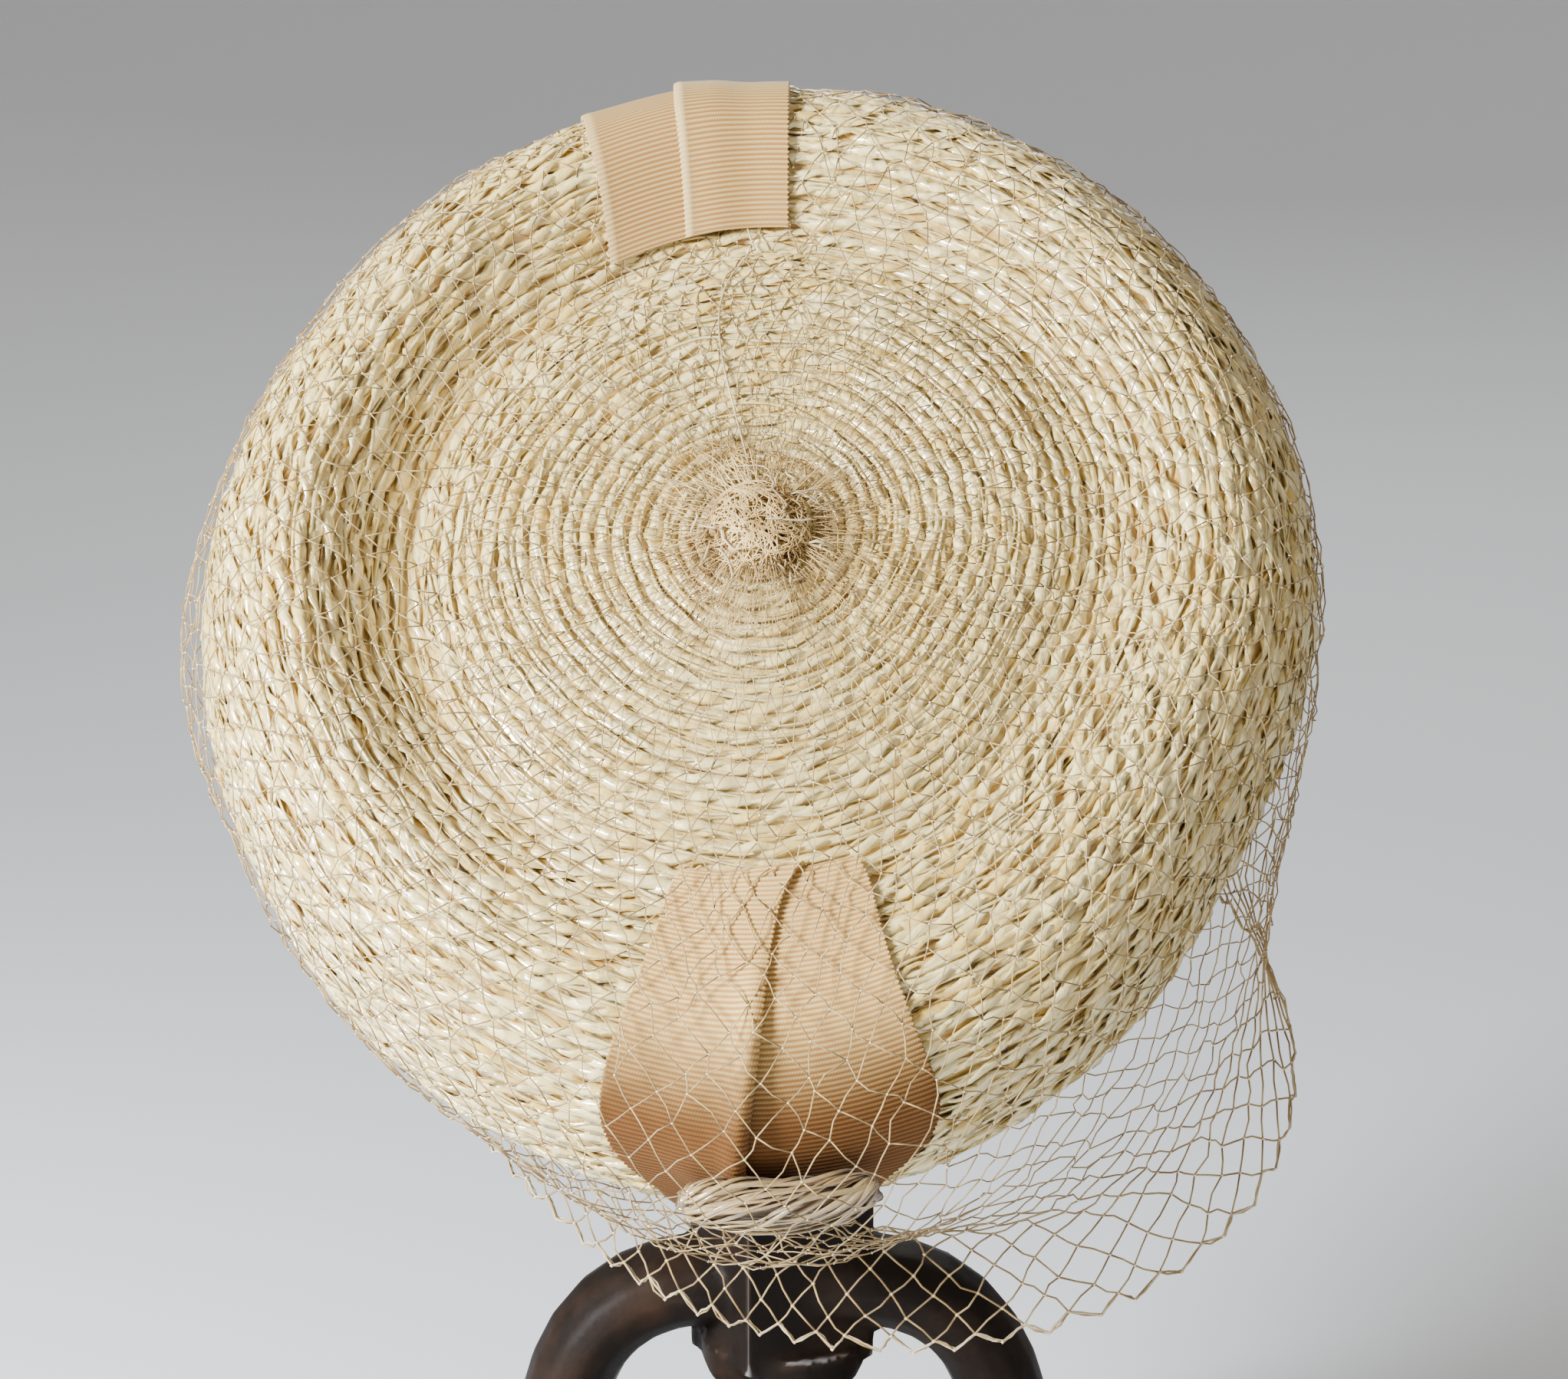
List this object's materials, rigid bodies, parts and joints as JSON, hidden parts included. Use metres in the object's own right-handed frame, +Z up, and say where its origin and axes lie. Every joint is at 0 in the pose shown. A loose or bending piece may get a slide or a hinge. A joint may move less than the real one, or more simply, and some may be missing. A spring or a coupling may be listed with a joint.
{
  "type": "veiled straw cloche hat on an iron stand",
  "caption": "Round straw hat with a puffed rim, crossed ribbon bands, a straw loop and a net veil, tip leaning forward on a plain iron post stand.",
  "frame": {"origin": "on the floor, under the middle of the whole thing", "axes": "+Z up, the front of the hat towards -Y, +X to the viewer's right"},
  "size_m": [0.246, 0.2103, 0.3442],
  "materials": {
    "straw": "glossy twisted straw sewn in close rows",
    "straw_loop": "bundle of glossy straw",
    "ribbon": "ribbed grosgrain, matt with a soft sheen",
    "veil_thread": "thin stiff thread",
    "stand_iron": "worn dark enamel on cast iron"
  },
  "bodies": {
    "root": {"crown": "straw", "back_ribbon_under": "ribbon", "back_ribbon_over": "ribbon", "front_ribbon_left": "ribbon", "front_ribbon_right": "ribbon", "straw_loop": "straw_loop", "veil_tuft": "veil_thread", "veil": "veil_thread", "veil_hem": "veil_thread", "stand": "stand_iron"}
  },
  "joints": []
}
